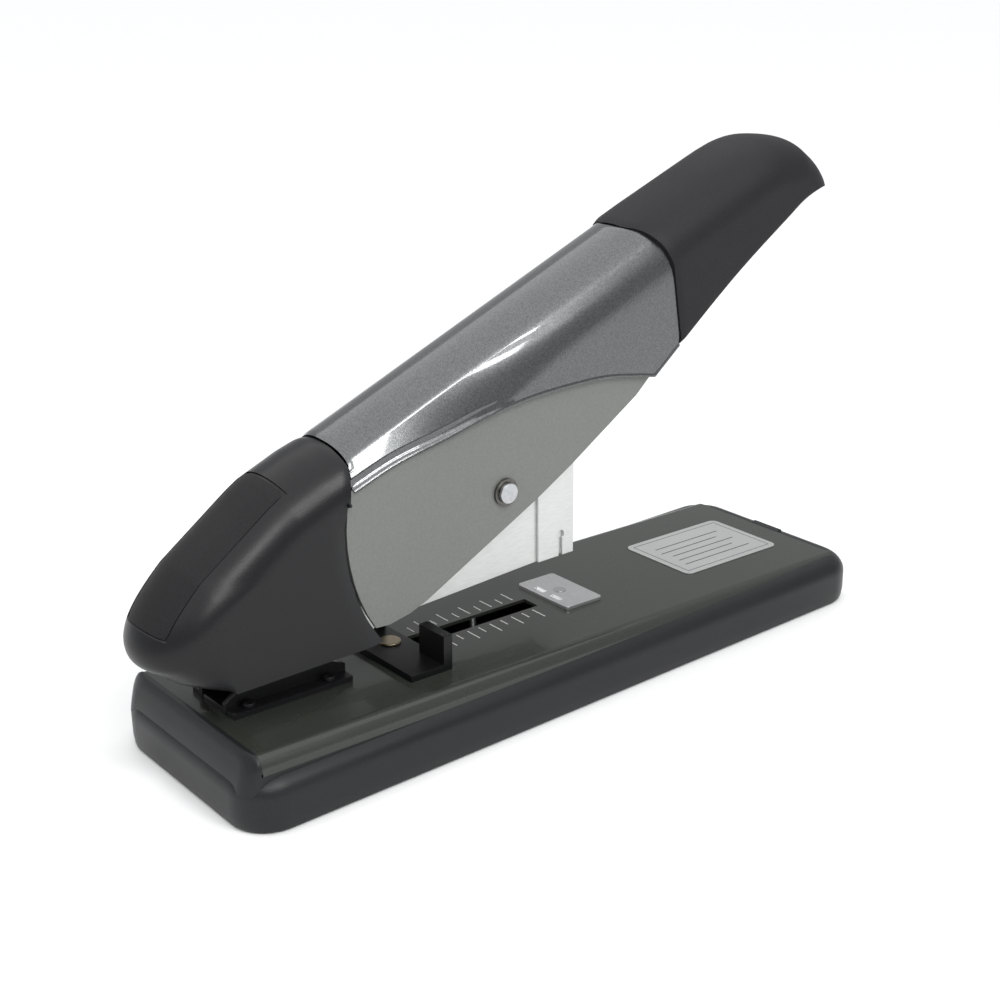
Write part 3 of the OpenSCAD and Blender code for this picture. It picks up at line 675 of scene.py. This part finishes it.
def base_shell():
    """The tub with soft edges, the deck behind the plate, the walls and floor under it, and the tab."""
    low, high = box_mm("base_shell")
    plate_low, plate_high = box_mm("base_plate")
    half_l, half_w, foot = high.x, high.y, low.z
    rim = 18.5
    # Pairs of inset and height, from inside the foot, over the soft edge and down beside the plate
    profile = [(8.4, foot + 2.4), (6.9, foot + 2.4), (6.8, foot + 2.2), (6.7, foot + 0.2), (6.4, foot),
               (1.4, foot), (0.7, foot + 0.35), (0.35, foot + 1.3), (0.0, 5.0), (0.0, 8.0)]
    edge_r = 7.0
    for k in range(13):
        a = math.radians(90 * k / 12)
        profile.append((edge_r - edge_r * math.cos(a), rim - edge_r + edge_r * math.sin(a)))
    profile += [(8.0, rim), (9.2, rim - 0.15), (9.6, rim - 3.0)]
    rows = [round_ring(half_l - d, half_w - d, max(3.0, 14 - 0.75 * d), z) for d, z in profile]
    mesh = skin("base_shell_look", rows, close=True)
    obj = make("base_shell_look", mesh, "base", SLOTS["base_shell"], None, ["base_shell"])
    smooth(obj.data, 40)
    # Deck: a soft hump behind the plate's rear edge
    top, edge_x, side = plate_high.z, plate_low.x, plate_high.y
    rear = [(13, -139.2), (15, -138.8), (18, -138.0), (21, -136.8), (23, -136.0), (24.4, -135.2),
            (25.2, -134.7), (25.6, -134.1)]
    roll_r = 5
    rows = []
    for z in (13, 15, 17, 19, 20.4, 21.4, 22.4, 23.2, 24, 24.6, 25.0, 25.3, 25.5, top + 0.2):
        rise = min(1.0, max(0.0, (z - (top - roll_r)) / (roll_r + 0.25)))
        wide = side - roll_r + roll_r * math.sqrt(1 - rise * rise)
        back = between(rear, z)
        corner = 7 + 3 * rise
        half_row = [(edge_x + 0.6, wide, z)]
        for k in range(13):
            a = math.radians(90 - 90 * k / 12)
            x, y = edge_x - (edge_x - back) * math.cos(a), wide - corner + corner * math.sin(a)
            half_row.append((x, y, z))
        half_row += [(back, (wide - corner) * q, z) for q in (0.66, 0.33, 0.0)]
        rows.append(half_row + [(x, -y, h) for x, y, h in reversed(half_row[:-1])])
    rows.append([(edge_x + 0.6, y, top + 0.2) for _, y, _ in rows[-1]])
    obj = make("base_deck_look", skin("base_deck_look", rows), "base", SLOTS["base_shell"])
    smooth(obj.data, 50)
    # Walls under the plate's rolled edges
    walls = []
    x0, x1, z0, z1 = plate_low.x, plate_high.x, top - 5.9, plate_low.z + 0.1
    for y in (-side + 0.08, side - 0.08):
        y0, y1 = sorted((y, y * 0.98))
        walls.append([(x0, y0, 12), (x1, y0, 12), (x1, y1, 12), (x0, y1, 12),
                      (x0, y0, z0), (x1, y0, z1), (x1, y1, z1), (x0, y1, z0)])
    # Floor under the plate, open where the guide's shoe runs
    sink, floor_t = -4.2, 2.95
    floors = [(-130, -80, -37, 37), (22, 130, -37, 37), (-80, 22, -37, -11), (-80, 22, 11, 37)]
    for x0, x1, y0, y1 in floors:
        walls.append(strip(x0, x1, y0, y1, sink, floor_t))
    bars("base_walls_look", walls, "base", SLOTS["base_shell"], None)
    tab = [(131.7, -7.5), (135.1, -7.5), (135.1, 7.5), (131.7, 7.5)]
    tab_corners = [(x, y, z) for z in (rim - 3, rim + 0.6) for x, y in tab]
    bars("base_tab_look", [tab_corners], "base", SLOTS["base_shell"], None, 0.7)


def scale_marks():
    """Lines beside the slot, every second one longer."""
    boxes = []
    first_x, pitch = -48.6, 5
    for k in range(11):
        x = first_x + pitch * k
        for side in (-1, 1):
            a, b = side * 5.6, side * (12.6 if k % 2 == 0 else 9.8)
            boxes.append(strip(x - 0.22, x + 0.22, min(a, b), max(a, b), 0.0, 0.05))
    bars("scale_marks", boxes, "base", "dark_paint", "mark_ink")


def label_print():
    """A frame and five plain rules on the label, in place of its print."""
    low, high = box_mm("label_plate")
    margin = 2.4
    x0, x1, y0, y1 = low.x + margin, high.x - margin, low.y + margin, high.y - margin
    lift = 0.4
    line = 0.28
    boxes = [strip(x0, x1, y0, y0 + line, lift, 0.04), strip(x0, x1, y1 - line, y1, lift, 0.04),
             strip(x0, x0 + line, y0, y1, lift, 0.04), strip(x1 - line, x1, y0, y1, lift, 0.04)]
    for k in range(5):
        y = y0 + 5.2 + 4.4 * k
        boxes.append(strip(x0 + 4 + (k % 3), x1 - 6 - 5 * (k % 2), y, y + 0.5, lift, 0.04))
    bars("label_rules", boxes, "base", "label_foil", "print_ink")


# ---- Springs and staples ----

def tube(name, points, radius, body, slot, stands_for=()):
    """A round wire through the points."""
    curve = bpy.data.curves.new(name, "CURVE")
    curve.dimensions = "3D"
    curve.bevel_depth = radius * MM
    curve.bevel_resolution = 4
    curve.use_fill_caps = True
    line = curve.splines.new("POLY")
    line.points.add(len(points) - 1)
    for point, place in zip(line.points, points):
        point.co = (*(Vector(place) * MM), 1)
    holder = bpy.data.objects.new(name + "_curve", curve)
    bpy.context.scene.collection.objects.link(holder)
    graph = bpy.context.evaluated_depsgraph_get()
    mesh = bpy.data.meshes.new_from_object(holder.evaluated_get(graph), depsgraph=graph)
    bpy.data.objects.remove(holder)
    obj = make(name, mesh, body, slot, None, stands_for)
    smooth(obj.data)
    return obj


def torsion_spring(node, x, z, r, wire, half, turns, leg_a, leg_b, leg_l, body):
    """A coil round (x, z) along Y, with a straight leg at each end."""
    points = []
    steps = 32 * turns
    start = math.radians(-leg_a)
    end = math.radians(-leg_b)
    turn = 2 * math.pi * turns + (end - start) % (2 * math.pi)

    def on(angle, y, radius=r):
        return (x + radius * math.cos(angle), y, z + radius * math.sin(angle))

    points.append(on(start, half, r + leg_l))
    points.append(on(start, half, r + 1.0))
    for k in range(steps + 1):
        points.append(on(start + turn * k / steps, half - 2 * half * k / steps))
    points.append(on(start + turn, -half, r + 1.0))
    points.append(on(start + turn, -half, r + leg_l))
    tube(node + "_look", points, wire, body, SLOTS[node], [node])


def springs():
    arm = Vector(JOINTS["arm_pivot"]["pos_m"]) / MM
    torsion_spring("arm_spring", arm.x, arm.z, 4.4, 0.6, 5.4, 6, 180, 60, 12, "base")
    torsion_spring("handle_spring", PIN.x, PIN.z, 4.4, 0.7, 7.6, 8, -100, 45, 31, "arm")
    low, high = box_mm("pusher_spring")
    middle = (low.z + high.z) / 2
    wire, r = 0.4, (high.z - low.z) / 2 - 0.4
    turns = 7
    points = []
    for k in range(turns * 28 + 1):
        t = k / (turns * 28)
        a = 2 * math.pi * turns * t
        x = low.x + wire + (high.x - low.x - 2 * wire) * t
        points.append((x, r * math.cos(a), middle + r * math.sin(a)))
    coil = tube("pusher_spring_look", points, wire, "magazine", SLOTS["pusher_spring"], ["pusher_spring"])
    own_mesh(coil)


def staples():
    """The strip as single wires, each a rounded U, glued side by side."""
    low, high = box_mm("staple_strip")
    pitch = 0.8
    count = int((high.x - low.x) / pitch)
    bm = bmesh.new()
    half = high.y
    outer = [(-half, low.z), (-half, high.z - 0.5), (-half + 0.15, high.z - 0.15), (-half + 0.5, high.z),
             (half - 0.5, high.z), (half - 0.15, high.z - 0.15), (half, high.z - 0.5), (half, low.z)]
    t = 0.7
    inner = [(half - t, low.z), (half - t, high.z - t), (-half + t, high.z - t), (-half + t, low.z)]
    for k in range(count):
        x0 = high.x - (k + 1) * pitch + 0.05
        x1 = x0 + pitch - 0.1
        ring = outer + inner
        a = [bm.verts.new(Vector((x0, y, z)) * MM) for y, z in ring]
        b = [bm.verts.new(Vector((x1, y, z)) * MM) for y, z in ring]
        for i in range(len(ring)):
            j = (i + 1) % len(ring)
            bm.faces.new((a[i], a[j], b[j], b[i]))
        bm.faces.new(a[::-1])
        bm.faces.new(b)
    bmesh.ops.recalc_face_normals(bm, faces=bm.faces)
    mesh = bpy.data.meshes.new("staple_strip_look")
    bm.to_mesh(mesh)
    bm.free()
    obj = make("staple_strip_look", mesh, "magazine", SLOTS["staple_strip"], None, ["staple_strip"])
    soften(obj, 0.12, 2)


EDGES = {
    "base_plate": 0.35, "bottom_plate": 0.3, "base_mat": 0.3, "base_screws": 0.15,
    "anvil": 0.3, "anvil_rivet": 0.12, "label_plate": 0.12, "pedestal": 0.3, "pedestal_bolts": 0.4,
    "pedestal_nuts": 0.3, "arm_pivot_pin": 0.3, "paper_guide": 0.5, "guide_rivet": 0.3, "guide_shoe": 0.4,
    "arm_frame": 0.3, "nose_housing": 0.35, "cover_screws": 0.3, "frame_spacers": 0.3, "handle_pin": 0.25,
    "handle_bushes": 0.3, "magazine_rail": 0.2, "magazine_channel": 0.2, "magazine_pull": 0.4,
    "pusher_rod": 0.2, "pusher": 0.3, "handle_lever": 0.45, "link_pin": 0.3, "pin_washers": 0.12,
    "cover_rivets": 0.4, "driver_block": 0.3, "driver_blade": 0.1}

for node, width in EDGES.items():
    refine(node, width, material="dark_steel" if node == "pin_washers" else None)
base_shell()
rear_cover()
handle_shell()
grip()
scale_marks()
label_print()
springs()
staples()


# ---- Stage, light and camera ----

def stage():
    bm = bmesh.new()
    rings = [0.0, 1.2, 4.0, 9.0, 16.0]
    sides = 64
    centre = bm.verts.new((0, 0, 0))
    previous = None
    for r in rings[1:]:
        ring = [bm.verts.new((r * math.cos(2 * math.pi * k / sides), r * math.sin(2 * math.pi * k / sides), 0))
                for k in range(sides)]
        for k in range(sides):
            j = (k + 1) % sides
            if previous is None:
                bm.faces.new((centre, ring[k], ring[j]))
            else:
                bm.faces.new((previous[k], ring[k], ring[j], previous[j]))
        previous = ring
    mesh = bpy.data.meshes.new("floor")
    bm.to_mesh(mesh)
    bm.free()
    floor = bpy.data.objects.new("floor", mesh)
    bpy.context.scene.collection.objects.link(floor)
    mesh.materials.append(surface("floor_paper", (0.86, 0.86, 0.86), 0.9, spread=0.01, grain=60, bump=0.02))


def area_light(name, place, target, size_x, size_y, power):
    data = bpy.data.lights.new(name, "AREA")
    data.shape = "RECTANGLE"
    data.size = size_x
    data.size_y = size_y
    data.energy = power
    obj = bpy.data.objects.new(name, data)
    bpy.context.scene.collection.objects.link(obj)
    obj.location = place
    obj.rotation_euler = (Vector(target) - Vector(place)).to_track_quat("-Z", "Y").to_euler()


stage()
sun = bpy.data.lights.new("sun", "SUN")
sun.energy = 2.15
sun.angle = math.radians(100)
sun_holder = bpy.data.objects.new("sun", sun)
bpy.context.scene.collection.objects.link(sun_holder)
sun_holder.rotation_euler = (math.radians(-8), math.radians(-8), 0)
area_light("facet_box", (0.1, -0.87, 0.78), (-0.05, 0.0, 0.1), 0.3, 0.12, 2.4)
area_light("crease_box", (0.02, -0.7, 0.93), (-0.03, 0.0, 0.11), 0.4, 0.06, 2.6)
area_light("cover_box", (-0.45, -0.8, 0.8), (-0.12, 0.0, 0.08), 0.4, 0.07, 3.0)
world = bpy.data.worlds.new("studio")
bpy.context.scene.world = world
world.use_nodes = True
world.node_tree.nodes["Background"].inputs["Color"].default_value = (0.97, 0.98, 1.0, 1)
world.node_tree.nodes["Background"].inputs["Strength"].default_value = 0.5
bpy.context.scene.view_settings.view_transform = "Standard"

lens = bpy.data.cameras.new("camera")
lens.sensor_width = 36
lens.lens = 57.35
lens.clip_end = 60
camera = bpy.data.objects.new("camera", lens)
bpy.context.scene.collection.objects.link(camera)
camera.matrix_world = (Matrix.Translation((-0.33925, -0.40616, 0.26607))
                       @ Matrix.Rotation(math.radians(-39.14), 4, "Z")
                       @ Matrix.Rotation(math.radians(69.06), 4, "X")
                       @ Matrix.Rotation(math.radians(-0.54), 4, "Z"))
bpy.context.scene.camera = camera
